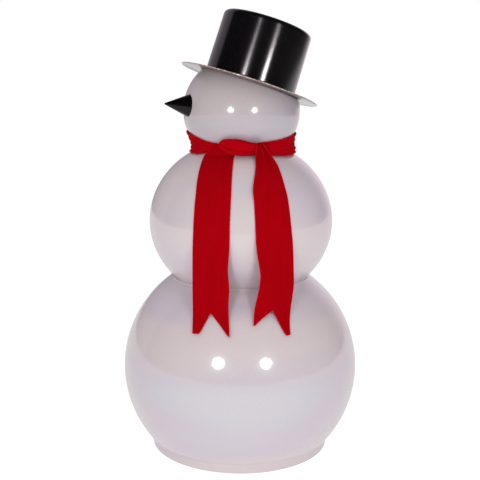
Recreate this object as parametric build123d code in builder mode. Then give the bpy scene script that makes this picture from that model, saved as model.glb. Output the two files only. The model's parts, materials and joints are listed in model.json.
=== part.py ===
"""Yard snowman, 1.2 m tall: three lacquered glass-fibre balls, the lowest footed over a base disc, with
a formed top hat, a cone nose and a tied scarf.

Frame: millimetres, +Z up, origin on the ground under the balls' common axis. The scarf is tied on
the -Y side. The head turns on a neck collar, and at rest it faces the -X side. The hat leans back
on the head, turns with a seat ring in the head's rim, and lifts off that ring.
"""

import os
from math import asin, atan2, cos, degrees, hypot, radians, sin, sqrt, tan

from build123d import *

os.makedirs("parts", exist_ok=True)

# ---------------------------------------------------------------- driving dimensions
# Balls: each is an ellipsoid of revolution, a little flatter than a sphere.
lower_radius = 331.0
lower_half_height = 319.0
middle_radius = 255.2
middle_half_height = 227.0
head_radius = 159.6
head_half_height = 150.2
ball_wall = 4.0
flange_thickness = 5.0
waist_radius = 189.0  # where the lower and middle balls meet
neck_radius = 118.3  # where the middle ball and the head meet

# Foot of the lower ball, a short upright skirt, and the base disc inside it
foot_radius = 251.0
foot_overhang = 9.0  # the ball's edge stands this far outside its foot
foot_edge_round = 5.0
foot_step_flat = 0.5  # level stretch between the rounds of that step
base_thickness = 30.0
base_gap = 0.5  # between the base disc and the foot
base_flange_width = 38.0
pad_radius = 16.0
pad_thickness = 6.0
pad_standing = 2.0  # how far a pad stands below the disc
pad_edge = 0.8
pad_gap = 0.4
base_edge = 1.5
pad_circle = 222.0
pad_count = 6
anchor_circle = 180.0
anchor_count = 4
anchor_angle = 45.0
anchor_hole_radius = 5.0
anchor_insert_radius = 7.5
anchor_insert_length = 18.0
drain_circle = 105.0
drain_radius = 5.0
drain_count = 3
drain_angle = 30.0

# Ballast
ballast_radius = 160.0
ballast_thickness = 16.0
ballast_bolt_radius = 6.0
ballast_edge = 2.0
ballast_drain_gap = 5.0  # its drain holes are this much wider than the base disc's

# Fasteners
base_bolt_radius = 4.0
base_bolt_count = 6
waist_bolt_radius = 3.0
waist_bolt_count = 6
waist_flange_width = 38.0
neck_screw_radius = 2.5
neck_screw_count = 6
hexagon_size = 1.8  # a bolt head's or nut's corner radius, as a share of the shank's radius
washer_size = 2.2  # a washer's radius, as a share of the shank's radius
thread_gap = 0.1  # between a shank and its nut or insert
bolt_gap = 0.5  # between a shank and its clearance hole
washer_thickness = 1.6
base_bolt_head = 6.0
base_nut_height = 7.0
ballast_bolt_head = 8.0
ballast_nut_height = 10.0
waist_bolt_head = 4.0
waist_nut_height = 5.0
neck_screw_head = 3.0
neck_screw_length = 16.0
thread_end = 2.0  # what stands out of a nut
head_sinking = 1.0  # how far a bolt's head sits inside its counterbore
blind_hole_floor = 0.5
blind_hole_play = 0.3  # between a screw's end and its hole's

# Waist and neck rings
waist_gasket_thickness = 2.0
waist_gasket_inset = 0.5  # from the balls' outside
ring_bore_gap = 1.0  # between a flat ring's bore and what passes through it
collar_wall = 5.0
collar_reach = 26.0
collar_lip = 9.0
collar_edge = 1.5
collar_gap = 0.4
neck_flange_width = 33.9
neck_collar_wall = 10.0
neck_lip = 20.0
glide_thickness = 3.0
glide_width = 22.0
neck_play = 0.4  # free height of the head's flange under its retaining ring
retaining_angle = 30.0
retaining_edge = 1.0

# Nose: a cone on the head, slightly above level
nose_azimuth = 23.7  # from -X towards -Y
nose_elevation = 5.2
nose_base_radius = 30.0  # where the cone meets the head
nose_length = 68.5  # from there to its tip
nose_tip_radius = 2.0
nose_wall = 3.0
nose_boss_radius = 9.0
nose_stud_radius = 4.0
nose_stud_engagement = 26.0
nose_washer_radius = 13.0
nose_root_depth = 18.0  # how far the cone's own length runs on inside the head's outline
nose_stud_play = 1.0  # between the stud's end and its hole's
nose_stud_end = 3.0  # what stands out of the wing nut
nose_washer_play = 0.3
wing_nut_height = 9.0
wing_hub_radius = 8.0
wing_circle = 13.6
wing_length = 14.4
wing_thickness = 3.0
wing_height = 12.6

# Hat
hat_lean = 18.0  # of the hat's axis from the vertical
hat_lean_azimuth = 19.0  # from +X towards +Y
hat_rim_offset = 67.6  # from the head's centre to its rim, along the hat's axis
hat_opening_radius = 118.0
hat_wall = 3.0
brim_radius = 193.0
crown_base_radius = 126.0
crown_top_radius = 123.5
crown_height = 176.0
crown_top_round = 13.0
crown_foot_round = 9.0
crown_mouth_round = 2.7
brim_edge_round = 1.2
hat_gasket_thickness = 3.0
hat_gasket_width = 11.0
seat_wall = 6.0
seat_spigot_depth = 14.0
seat_crown_reach = 25.0
seat_gap = 0.5
seat_taper = 0.6

# Scarf
scarf_thickness = 3.0
scarf_gap = 1.5  # between the cloth and the balls
band_gap = 1.0
band_inner_radius = 124.0
band_outer_radius = 149.0
band_bottom = -18.0  # below the neck joint
band_top = 41.0  # above the neck joint
band_round = 9.0
knot_outer_radius = 166.0
knot_left, knot_right = -100.0, 99.0
knot_bottom, knot_top = -16.0, 37.0  # from the neck joint
knot_round = 12.0
tail_bend_height = 14.0  # the line where a tail starts to hang, above the middle ball's centre
tail_bend_gap = 3.0  # each side of that line
tail_notch = 50.0
left_tail_length = 440.0  # tails are measured straight down from where they leave the knot
right_tail_length = 443.0
left_tail_top = (-96.0, -18.0)  # edges of each tail, from left to right
left_tail_hang = (-119.0, -29.0)
right_tail_top = (34.0, 90.0)
right_tail_hang = (38.0, 129.0)


# ---------------------------------------------------------------- derived places
def rise(radius, half_height, at_radius):
    """Height from an ellipsoid's centre to where it is at_radius wide."""
    return half_height * sqrt(1 - (at_radius / radius) ** 2)


base_bottom = pad_standing
base_top = base_bottom + base_thickness
base_radius = foot_radius - ball_wall - base_gap
lower_cut_radius = foot_radius + foot_overhang
lower_z = base_top + rise(lower_radius, lower_half_height, lower_cut_radius)
waist_z = lower_z + rise(lower_radius, lower_half_height, waist_radius)
middle_bottom = waist_z + waist_gasket_thickness
middle_z = middle_bottom + rise(middle_radius, middle_half_height, waist_radius)
neck_z = middle_z + rise(middle_radius, middle_half_height, neck_radius)
head_bottom = neck_z + glide_thickness
head_z = head_bottom + rise(head_radius, head_half_height, neck_radius)
head_centre = Vector(0, 0, head_z)

base_flange_inner = lower_cut_radius - base_flange_width
base_bolt_circle = (base_flange_inner + base_radius) / 2
waist_flange_inner = waist_radius - waist_flange_width
waist_bolt_circle = waist_flange_inner + waist_flange_width / 2 - ball_wall / 2
neck_hole_radius = neck_radius - neck_flange_width
neck_collar_radius = neck_hole_radius - collar_gap
neck_bore_radius = neck_collar_radius - neck_collar_wall


def turning_plane(origin, axis):
    """A plane through an axis: local Y runs along the axis, and local X straight out from it."""
    out = Vector(axis.Z, 0, -axis.X).normalized()
    return Plane(origin=origin, x_dir=out, z_dir=out.cross(axis))


def lean_direction(lean, azimuth):
    return Vector(sin(radians(lean)) * cos(radians(azimuth)), sin(radians(lean)) * sin(radians(azimuth)),
                  cos(radians(lean)))


hat_up = lean_direction(hat_lean, hat_lean_azimuth)
rim_plane = Plane(origin=head_centre + hat_up * hat_rim_offset, z_dir=hat_up)
brim_centre = rim_plane.origin + hat_up * hat_gasket_thickness
hat_section = turning_plane(brim_centre, hat_up)
hat_axis = Axis(brim_centre, hat_up)

nose_out = lean_direction(90 - nose_elevation, 180 + nose_azimuth)
nose_section = turning_plane(head_centre, nose_out)
nose_axis = Axis(head_centre, nose_out)


def head_reach(wall):
    """Distance along the nose's axis from the head's centre to its surface, or to a face under it."""
    level = cos(radians(nose_elevation)) / (head_radius - wall)
    upright = sin(radians(nose_elevation)) / (head_half_height - wall)
    return 1 / sqrt(level**2 + upright**2)


pieces = {}


# ---------------------------------------------------------------- fasteners
def bolts(face, circle, count, first_angle, shank_radius, length, head_height):
    """Hexagon bolts on a circle: heads on the near side of face, shanks through it along its normal."""
    with BuildPart() as made:
        with BuildSketch(face):
            with PolarLocations(circle, count, first_angle):
                RegularPolygon(shank_radius * hexagon_size, 6)
        extrude(amount=-head_height)
        with BuildSketch(face):
            with PolarLocations(circle, count, first_angle):
                Circle(shank_radius)
        extrude(amount=length)
    return made


def nuts(face, circle, count, first_angle, shank_radius, height):
    """Hexagon nuts on a circle, standing on face."""
    with BuildPart() as made:
        with BuildSketch(face):
            with PolarLocations(circle, count, first_angle):
                RegularPolygon(shank_radius * hexagon_size, 6)
                Circle(shank_radius + thread_gap, mode=Mode.SUBTRACT)
        extrude(amount=height)
    return made


def washers(faces, circle, count, first_angle, shank_radius):
    """Flat washers on a circle, one set standing on each face."""
    with BuildPart() as made:
        for face in faces:
            with BuildSketch(face):
                with PolarLocations(circle, count, first_angle):
                    Circle(shank_radius * washer_size)
                    Circle(shank_radius + bolt_gap, mode=Mode.SUBTRACT)
            extrude(amount=washer_thickness)
    return made


def facing_down(height):
    return Plane(origin=(0, 0, height), x_dir=(1, 0, 0), z_dir=(0, 0, -1))


# ---------------------------------------------------------------- base disc
half_step = 180 / base_bolt_count
base_counterbore_radius = base_bolt_radius * washer_size + bolt_gap
base_counterbore_depth = base_bolt_head + washer_thickness + head_sinking
ballast_counterbore_depth = ballast_bolt_head + head_sinking

with BuildPart() as base_disc:
    with BuildSketch(Plane.XY.offset(base_bottom)):
        Circle(base_radius)
    extrude(amount=base_thickness)
    chamfer(base_disc.edges().filter_by(GeomType.CIRCLE).group_by(Axis.Z)[0], base_edge)
    with BuildSketch(Plane.XY.offset(base_bottom)):
        with PolarLocations(pad_circle, pad_count):
            Circle(pad_radius + pad_gap)
    extrude(amount=pad_thickness - pad_standing, mode=Mode.SUBTRACT)
    with BuildSketch(Plane.XY.offset(base_bottom)):
        with PolarLocations(anchor_circle, anchor_count, anchor_angle):
            Circle(anchor_insert_radius)
    extrude(amount=anchor_insert_length, mode=Mode.SUBTRACT)
    with Locations(facing_down(base_bottom)):
        with PolarLocations(base_bolt_circle, base_bolt_count, half_step):
            CounterBoreHole(base_bolt_radius + bolt_gap, base_counterbore_radius, base_counterbore_depth)
        CounterBoreHole(ballast_bolt_radius + bolt_gap, ballast_bolt_radius * washer_size,
                        ballast_counterbore_depth)
        with PolarLocations(drain_circle, drain_count, drain_angle):
            Hole(drain_radius)
pieces["base_disc"] = base_disc

with BuildPart() as base_pads:
    with BuildSketch():
        with PolarLocations(pad_circle, pad_count):
            Circle(pad_radius)
    extrude(amount=pad_thickness)
    chamfer(base_pads.edges().group_by(Axis.Z)[0], pad_edge)
pieces["base_pads"] = base_pads

with BuildPart() as anchor_inserts:
    with BuildSketch(Plane.XY.offset(base_bottom)):
        with PolarLocations(anchor_circle, anchor_count, anchor_angle):
            Circle(anchor_insert_radius)
            Circle(anchor_hole_radius, mode=Mode.SUBTRACT)
    extrude(amount=anchor_insert_length)
pieces["anchor_inserts"] = anchor_inserts

bolt_seat = base_bottom + base_counterbore_depth
base_flange_top = base_top + flange_thickness
pieces["base_washers"] = washers(
    [facing_down(bolt_seat)], base_bolt_circle, base_bolt_count, half_step, base_bolt_radius)
pieces["base_bolts"] = bolts(
    Plane.XY.offset(bolt_seat - washer_thickness), base_bolt_circle, base_bolt_count, half_step,
    base_bolt_radius, base_flange_top + base_nut_height + thread_end - bolt_seat + washer_thickness,
    base_bolt_head)
pieces["base_nuts"] = nuts(
    Plane.XY.offset(base_flange_top), base_bolt_circle, base_bolt_count, half_step, base_bolt_radius,
    base_nut_height)

# ---------------------------------------------------------------- ballast
ballast_top = base_top + ballast_thickness
with BuildPart() as ballast_plate:
    with BuildSketch(Plane.XY.offset(base_top)):
        Circle(ballast_radius)
        Circle(ballast_bolt_radius + bolt_gap, mode=Mode.SUBTRACT)
        with PolarLocations(drain_circle, drain_count, drain_angle):
            Circle(drain_radius + ballast_drain_gap, mode=Mode.SUBTRACT)
    extrude(amount=ballast_thickness)
    ballast_rims = ballast_plate.edges().filter_by(GeomType.CIRCLE).group_by(Axis.Z)[-1]
    chamfer(ballast_rims.sort_by(SortBy.RADIUS)[-1], ballast_edge)
pieces["ballast_plate"] = ballast_plate

ballast_seat = base_bottom + ballast_counterbore_depth
pieces["ballast_bolt"] = bolts(
    Plane.XY.offset(ballast_seat), 0, 1, 0, ballast_bolt_radius,
    ballast_top + washer_thickness + ballast_nut_height + thread_end - ballast_seat, ballast_bolt_head)
pieces["ballast_washer"] = washers([Plane.XY.offset(ballast_top)], 0, 1, 0, ballast_bolt_radius)
pieces["ballast_nut"] = nuts(
    Plane.XY.offset(ballast_top + washer_thickness), 0, 1, 0, ballast_bolt_radius, ballast_nut_height)


# ---------------------------------------------------------------- lower and middle balls
def ball_profile(centre_z, radius, half_height, bottom, top, bottom_hole, top_hole):
    """Half of the section of an ellipsoid shell cut level at both ends, with a flange turned in at each."""
    with BuildSketch(Plane.XZ) as profile:
        with Locations((0, centre_z)):
            Ellipse(radius, half_height)
            Ellipse(radius - ball_wall, half_height - ball_wall, mode=Mode.SUBTRACT)
        with Locations((bottom_hole, bottom)):
            Rectangle(radius, flange_thickness, align=(Align.MIN, Align.MIN))
        with Locations((top_hole, top)):
            Rectangle(radius, flange_thickness, align=(Align.MIN, Align.MAX))
        with Locations((0, centre_z)):
            Ellipse(radius, half_height, mode=Mode.INTERSECT)
        with Locations((0, bottom)):
            Rectangle(radius, top - bottom, align=(Align.MIN, Align.MIN), mode=Mode.INTERSECT)
    return profile


lower_profile = ball_profile(lower_z, lower_radius, lower_half_height, base_top, waist_z,
                             base_flange_inner, waist_flange_inner)
with BuildPart() as lower_ball:
    with BuildSketch(Plane.XZ) as footed_profile:
        add(lower_profile.sketch_local)
        with Locations((foot_radius, base_bottom)):
            Rectangle(ball_wall, base_thickness, align=(Align.MAX, Align.MIN))
        fillet(footed_profile.vertices().sort_by_distance((lower_cut_radius, base_top, 0))[0],
               foot_edge_round)
        fillet(footed_profile.vertices().sort_by_distance((foot_radius, base_top, 0))[0],
               foot_overhang - foot_edge_round - foot_step_flat)
    revolve(axis=Axis.Z)
    with BuildSketch(Plane.XY.offset(base_top)):
        with PolarLocations(base_bolt_circle, base_bolt_count, half_step):
            Circle(base_bolt_radius + bolt_gap)
    extrude(amount=flange_thickness, mode=Mode.SUBTRACT)
    with BuildSketch(Plane.XY.offset(waist_z)):
        with PolarLocations(waist_bolt_circle, waist_bolt_count):
            Circle(waist_bolt_radius + bolt_gap)
    extrude(amount=-flange_thickness, mode=Mode.SUBTRACT)
pieces["lower_ball"] = lower_ball

middle_profile = ball_profile(middle_z, middle_radius, middle_half_height, middle_bottom, neck_z,
                              waist_flange_inner, neck_hole_radius)
collar_screw_depth = flange_thickness - blind_hole_floor
neck_lip_screw_circle = neck_collar_radius + neck_lip / 2
with BuildPart() as middle_ball:
    with BuildSketch(Plane.XZ):
        add(middle_profile.sketch_local)
    revolve(axis=Axis.Z)
    with BuildSketch(Plane.XY.offset(middle_bottom)):
        with PolarLocations(waist_bolt_circle, waist_bolt_count):
            Circle(waist_bolt_radius + bolt_gap)
    extrude(amount=flange_thickness, mode=Mode.SUBTRACT)
    with BuildSketch(Plane.XY.offset(neck_z - flange_thickness)):
        with PolarLocations(neck_lip_screw_circle, neck_screw_count):
            Circle(neck_screw_radius + thread_gap)
    extrude(amount=collar_screw_depth, mode=Mode.SUBTRACT)
pieces["middle_ball"] = middle_ball

# ---------------------------------------------------------------- waist joint
with BuildPart() as waist_gasket:
    with BuildSketch(Plane.XY.offset(waist_z)):
        Circle(waist_radius - waist_gasket_inset)
        Circle(waist_flange_inner + ring_bore_gap, mode=Mode.SUBTRACT)
        with PolarLocations(waist_bolt_circle, waist_bolt_count):
            Circle(waist_bolt_radius + bolt_gap, mode=Mode.SUBTRACT)
    extrude(amount=waist_gasket_thickness)
pieces["waist_gasket"] = waist_gasket

collar_radius = waist_flange_inner - collar_gap
lower_flange_bottom = waist_z - flange_thickness
middle_flange_top = middle_bottom + flange_thickness
with BuildPart() as waist_collar:
    with BuildSketch(Plane.XZ):
        with Locations((collar_radius, middle_flange_top + collar_reach)):
            Rectangle(collar_wall, collar_reach * 2 + flange_thickness * 2 + waist_gasket_thickness,
                      align=(Align.MAX, Align.MAX))
        with Locations((collar_radius - collar_wall, lower_flange_bottom)):
            Rectangle(collar_wall + collar_lip, collar_wall, align=(Align.MIN, Align.MAX))
    revolve(axis=Axis.Z)
    chamfer(waist_collar.edges().filter_by(GeomType.CIRCLE).group_by(Axis.Z)[-1], collar_edge)
pieces["waist_collar"] = waist_collar

waist_faces = [Plane.XY.offset(middle_flange_top), facing_down(lower_flange_bottom)]
pieces["waist_washers"] = washers(
    waist_faces, waist_bolt_circle, waist_bolt_count, 0, waist_bolt_radius)
waist_bolt_length = (middle_flange_top - lower_flange_bottom + 2 * washer_thickness + waist_nut_height
                     + thread_end)
pieces["waist_bolts"] = bolts(
    facing_down(middle_flange_top + washer_thickness), waist_bolt_circle, waist_bolt_count, 0,
    waist_bolt_radius, waist_bolt_length, waist_bolt_head)
pieces["waist_nuts"] = nuts(
    facing_down(lower_flange_bottom - washer_thickness), waist_bolt_circle, waist_bolt_count, 0,
    waist_bolt_radius, waist_nut_height)

# ---------------------------------------------------------------- head
with BuildPart() as head_solid:
    with BuildSketch(Plane.XZ):
        with Locations((0, head_z)):
            Ellipse(head_radius, head_half_height)
        with Locations((0, head_bottom)):
            Rectangle(head_radius, head_half_height * 2, align=(Align.MIN, Align.MIN), mode=Mode.INTERSECT)
    revolve(axis=Axis.Z)
    split(bisect_by=rim_plane, keep=Keep.BOTTOM)

with BuildPart() as head_hollow:
    with BuildSketch(Plane.XZ):
        with Locations((0, head_z)):
            Ellipse(head_radius - ball_wall, head_half_height - ball_wall)
        with Locations((0, head_bottom + flange_thickness)):
            Rectangle(head_radius, head_half_height * 2, align=(Align.MIN, Align.MIN), mode=Mode.INTERSECT)
    revolve(axis=Axis.Z)
    split(bisect_by=rim_plane.offset(-ball_wall), keep=Keep.BOTTOM)

with BuildPart() as head_ball:
    add(head_solid.part)
    add(head_hollow.part, mode=Mode.SUBTRACT)
    with BuildSketch(Plane.XY.offset(head_bottom)):
        Circle(neck_hole_radius)
    extrude(amount=flange_thickness, mode=Mode.SUBTRACT)
    with BuildSketch(rim_plane):
        Circle(hat_opening_radius)
    extrude(amount=-ball_wall, mode=Mode.SUBTRACT)
    with BuildSketch(Plane(origin=head_centre, z_dir=nose_out)):
        Circle(nose_stud_radius + bolt_gap)
    extrude(amount=head_radius, mode=Mode.SUBTRACT)
pieces["head_ball"] = head_ball

# ---------------------------------------------------------------- neck bearing
neck_lip_radius = neck_collar_radius + neck_lip
neck_lip_bottom = neck_z - flange_thickness - collar_wall
neck_collar_top = head_bottom + flange_thickness + neck_play
neck_screw_circle = neck_bore_radius + neck_collar_wall / 2
with BuildPart() as neck_collar:
    with BuildSketch(Plane.XZ):
        with Locations((neck_bore_radius, neck_lip_bottom)):
            Rectangle(neck_collar_wall, neck_collar_top - neck_lip_bottom, align=(Align.MIN, Align.MIN))
            Rectangle(neck_collar_wall + neck_lip, collar_wall, align=(Align.MIN, Align.MIN))
    revolve(axis=Axis.Z)
    with BuildSketch(Plane.XY.offset(neck_lip_bottom)):
        with PolarLocations(neck_lip_screw_circle, neck_screw_count):
            Circle(neck_screw_radius + bolt_gap)
    extrude(amount=collar_wall, mode=Mode.SUBTRACT)
    with BuildSketch(Plane.XY.offset(neck_collar_top)):
        with PolarLocations(neck_screw_circle, neck_screw_count, retaining_angle):
            Circle(neck_screw_radius + thread_gap)
    extrude(amount=-neck_screw_length, mode=Mode.SUBTRACT)
pieces["neck_collar"] = neck_collar

pieces["collar_screws"] = bolts(
    Plane.XY.offset(neck_lip_bottom), neck_lip_screw_circle, neck_screw_count, 0, neck_screw_radius,
    collar_wall + collar_screw_depth - blind_hole_play, neck_screw_head)

with BuildPart() as glide_ring:
    with BuildSketch(Plane.XY.offset(neck_z)):
        Circle(neck_hole_radius + glide_width)
        Circle(neck_hole_radius + ring_bore_gap, mode=Mode.SUBTRACT)
    extrude(amount=glide_thickness)
pieces["glide_ring"] = glide_ring

with BuildPart() as retaining_ring:
    with BuildSketch(Plane.XY.offset(neck_collar_top)):
        Circle(neck_lip_radius)
        Circle(neck_bore_radius, mode=Mode.SUBTRACT)
        with PolarLocations(neck_screw_circle, neck_screw_count, retaining_angle):
            Circle(neck_screw_radius + bolt_gap, mode=Mode.SUBTRACT)
    extrude(amount=collar_wall)
    chamfer(retaining_ring.edges().filter_by(GeomType.CIRCLE).sort_by(SortBy.RADIUS)[-2:], retaining_edge)
pieces["retaining_ring"] = retaining_ring

pieces["retaining_screws"] = bolts(
    facing_down(neck_collar_top + collar_wall), neck_screw_circle, neck_screw_count, retaining_angle,
    neck_screw_radius, collar_wall + neck_screw_length - blind_hole_play, neck_screw_head)

# ---------------------------------------------------------------- nose
nose_surface = head_reach(0)
nose_base = sqrt(nose_surface**2 - nose_base_radius**2)
nose_tip = nose_base + nose_length
round_centre = nose_tip - nose_tip_radius
base_to_round = hypot(nose_base_radius, round_centre - nose_base)
cone_angle = (atan2(nose_base_radius, round_centre - nose_base)
              - asin(nose_tip_radius / base_to_round))  # between the cone's side and its axis
nose_root = nose_surface - nose_root_depth
nose_apex = round_centre + nose_tip_radius / sin(cone_angle)
round_end = (nose_tip_radius * cos(cone_angle), round_centre + nose_tip_radius * sin(cone_angle))
root_radius = (nose_apex - nose_root) * tan(cone_angle)
skin = nose_wall / cos(cone_angle)
hollow_end = nose_apex - (nose_boss_radius + skin) / tan(cone_angle)

with BuildPart() as nose_cone:
    with BuildSketch(nose_section):
        with BuildLine():
            Line((0, nose_root), (root_radius, nose_root))
            Line((root_radius, nose_root), round_end)
            CenterArc((0, round_centre), nose_tip_radius, degrees(cone_angle), 90 - degrees(cone_angle))
            Line((0, nose_tip), (0, nose_root))
        make_face()
        with BuildLine():
            Polyline((nose_boss_radius, nose_root), (root_radius - skin, nose_root),
                     (nose_boss_radius, hollow_end), close=True)
        make_face(mode=Mode.SUBTRACT)
    revolve(axis=nose_axis)
    add(head_solid.part, mode=Mode.SUBTRACT)
    with BuildSketch(Plane(origin=head_centre + nose_out * nose_root, z_dir=nose_out)):
        Circle(nose_stud_radius + thread_gap)
    extrude(amount=nose_surface - nose_root + nose_stud_engagement, mode=Mode.SUBTRACT)
pieces["nose_cone"] = nose_cone

inner_face = sqrt(head_reach(ball_wall) ** 2 - nose_washer_radius**2) - nose_washer_play
wing_nut_face = inner_face - washer_thickness
with BuildPart() as nose_washer:
    with BuildSketch(Plane(origin=head_centre + nose_out * inner_face, z_dir=-nose_out)):
        Circle(nose_washer_radius)
        Circle(nose_stud_radius + bolt_gap, mode=Mode.SUBTRACT)
    extrude(amount=washer_thickness)
pieces["nose_washer"] = nose_washer

with BuildPart() as nose_wing_nut:
    with BuildSketch(Plane(origin=head_centre + nose_out * wing_nut_face, x_dir=(0, 0, 1), z_dir=-nose_out)):
        Circle(wing_hub_radius)
        Circle(nose_stud_radius + thread_gap, mode=Mode.SUBTRACT)
    extrude(amount=wing_nut_height)
    with BuildSketch(Plane(origin=head_centre + nose_out * (wing_nut_face - wing_nut_height / 2),
                           x_dir=(0, 0, 1), z_dir=-nose_out)):
        with PolarLocations(wing_circle, 2):
            SlotOverall(wing_length, wing_thickness)
    extrude(amount=wing_height)
pieces["nose_wing_nut"] = nose_wing_nut

with BuildPart() as nose_stud:
    with BuildSketch(Plane(origin=head_centre + nose_out * (wing_nut_face - wing_nut_height - nose_stud_end),
                           z_dir=nose_out)):
        Circle(nose_stud_radius)
    extrude(amount=nose_surface + nose_stud_engagement - nose_stud_play - wing_nut_face + wing_nut_height
            + nose_stud_end)
pieces["nose_stud"] = nose_stud

# ---------------------------------------------------------------- hat
with BuildPart() as hat_shell:
    with BuildSketch(hat_section) as hat_profile:
        with BuildLine():
            Polyline((0, crown_height), (crown_top_radius, crown_height), (crown_base_radius, hat_wall),
                     (brim_radius, hat_wall), (brim_radius, 0), (crown_base_radius - hat_wall, 0),
                     (crown_top_radius - hat_wall, crown_height - hat_wall), (0, crown_height - hat_wall),
                     close=True)
        make_face()

        def corner(out, up):
            """The profile's corner nearest to a place given across and along the hat's axis."""
            return hat_profile.vertices().sort_by_distance((out, up, 0))[0]

        fillet(corner(crown_top_radius, crown_height), crown_top_round)
        fillet(corner(crown_top_radius - hat_wall, crown_height - hat_wall), crown_top_round - hat_wall)
        fillet(corner(crown_base_radius, hat_wall), crown_foot_round)
        fillet(corner(crown_base_radius - hat_wall, 0), crown_mouth_round)
        fillet(corner(brim_radius, hat_wall), brim_edge_round)
        fillet(corner(brim_radius, 0), brim_edge_round)
    revolve(axis=hat_axis)
pieces["hat_shell"] = hat_shell

with BuildPart() as hat_gasket:
    with BuildSketch(rim_plane):
        Circle(crown_base_radius + hat_gasket_width)
        Circle(crown_base_radius, mode=Mode.SUBTRACT)
    extrude(amount=hat_gasket_thickness)
pieces["hat_gasket"] = hat_gasket

spigot_radius = hat_opening_radius - seat_gap
seat_inner = spigot_radius - seat_wall
crown_spigot_radius = crown_base_radius - hat_wall - seat_gap
with BuildPart() as hat_seat_ring:
    with BuildSketch(hat_section):
        with BuildLine():
            Polyline((seat_inner, seat_crown_reach), (crown_spigot_radius - seat_taper, seat_crown_reach),
                     (crown_spigot_radius, -hat_gasket_thickness), (spigot_radius, -hat_gasket_thickness),
                     (spigot_radius, -hat_gasket_thickness - seat_spigot_depth),
                     (seat_inner, -hat_gasket_thickness - seat_spigot_depth), close=True)
        make_face()
    revolve(axis=hat_axis)
pieces["hat_seat_ring"] = hat_seat_ring


# ---------------------------------------------------------------- scarf
def collar_of_cloth(inner, outer, low, high, edge_round):
    """A ring of cloth in the neck between the middle ball and the head, clear of both."""
    with BuildPart() as made:
        with BuildSketch(Plane.XZ) as section:
            with Locations((inner, neck_z + low)):
                Rectangle(outer - inner, high - low, align=(Align.MIN, Align.MIN))
            fillet(section.vertices().group_by(Axis.X)[-1], edge_round)
            with Locations((0, middle_z)):
                Ellipse(middle_radius + band_gap, middle_half_height + band_gap, mode=Mode.SUBTRACT)
            with Locations((0, head_z)):
                Ellipse(head_radius + band_gap, head_half_height + band_gap, mode=Mode.SUBTRACT)
        revolve(axis=Axis.Z)
    return made


band_ring = collar_of_cloth(band_inner_radius, band_outer_radius, band_bottom, band_top, band_round)
with BuildPart() as scarf_band:
    add(band_ring.part)
    with BuildSketch(Plane.XZ):
        with Locations((knot_left, neck_z)):
            Rectangle(knot_right - knot_left, head_radius, align=(Align.MIN, Align.CENTER))
    extrude(amount=middle_radius, mode=Mode.SUBTRACT)
pieces["scarf_band"] = scarf_band

knot_ring = collar_of_cloth(band_inner_radius, knot_outer_radius, knot_bottom, knot_top, knot_round)
with BuildPart() as scarf_knot:
    add(knot_ring.part)
    with BuildSketch(Plane.XZ):
        with Locations((knot_left, neck_z)):
            Rectangle(knot_right - knot_left, head_radius, align=(Align.MIN, Align.CENTER))
    extrude(amount=middle_radius, mode=Mode.INTERSECT)
pieces["scarf_knot"] = scarf_knot


def draped_cloth(outline):
    """Cloth over the front of the balls, cut to an outline seen from the front.

    It lies on the middle ball down to its widest part, hangs straight from there, and lies on the
    lower ball where it meets it.
    """
    with BuildPart() as cloth:
        with BuildSketch(Plane.XZ):
            for gap, mode in ((scarf_gap + scarf_thickness, Mode.ADD), (scarf_gap, Mode.SUBTRACT)):
                with Locations((0, middle_z)):
                    Ellipse(middle_radius + gap, middle_half_height + gap, mode=mode)
                with Locations((0, lower_z)):
                    Ellipse(lower_radius + gap, lower_half_height + gap, mode=mode)
                    Rectangle(middle_radius + gap, middle_z - lower_z, align=(Align.MIN, Align.MIN),
                              mode=mode)
            with Locations((0, lower_z)):
                Rectangle(lower_radius, neck_z - lower_z, align=(Align.MIN, Align.MIN),
                          mode=Mode.INTERSECT)
        revolve(axis=Axis.Z)
        with BuildSketch(Plane.XZ):
            with BuildLine():
                Polyline(*outline, close=True)
            make_face()
        extrude(amount=lower_radius, mode=Mode.INTERSECT)
    return cloth


def tail_outlines(top_edges, hang_edges, length):
    """Outlines of a tail's shoulder, which lies on the ball, and of its hanging end."""
    top = neck_z + knot_bottom
    bend = middle_z + tail_bend_height
    end = top - length
    shoulder = [(top_edges[0], top), (top_edges[1], top), (hang_edges[1], bend + tail_bend_gap),
                (hang_edges[0], bend + tail_bend_gap)]
    middle = (hang_edges[0] + hang_edges[1]) / 2
    hanging = [(hang_edges[0], bend - tail_bend_gap), (hang_edges[1], bend - tail_bend_gap),
               (hang_edges[1], end), (middle, end + tail_notch), (hang_edges[0], end)]
    return shoulder, hanging


for side, tops, hangs, length in (("left", left_tail_top, left_tail_hang, left_tail_length),
                                  ("right", right_tail_top, right_tail_hang, right_tail_length)):
    shoulder_outline, tail_outline = tail_outlines(tops, hangs, length)
    pieces[f"scarf_{side}_shoulder"] = draped_cloth(shoulder_outline)
    pieces[f"scarf_{side}_tail"] = draped_cloth(tail_outline)

# ---------------------------------------------------------------- labels and files
for name, piece in pieces.items():
    piece.part.label = name
    export_step(piece.part, f"parts/{name}.step")


def tail_hinge(hang_edges):
    """The middle of the line where a tail starts to hang, and the way out from the ball there."""
    reach = middle_radius + scarf_gap + scarf_thickness / 2
    across = (hang_edges[0] + hang_edges[1]) / 2
    out = -sqrt(reach**2 - across**2)
    return [round(v, 4) for v in (across, out, middle_z + tail_bend_height, across / reach, out / reach)]


print("heights: lower", round(lower_z, 3), "waist", round(waist_z, 3), "middle", round(middle_z, 3),
      "neck", round(neck_z, 3), "head", round(head_z, 3))
print("hat axis", tuple(hat_up), "brim centre", tuple(brim_centre))
print("top of hat", round(hat_shell.part.bounding_box().max.Z, 2))
print("left tail hinge", tail_hinge(left_tail_hang))
print("right tail hinge", tail_hinge(right_tail_hang))
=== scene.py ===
"""The looks of a 1.2 m yard snowman: lacquered balls, gloss hat and nose, and a tied cloth scarf."""

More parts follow.
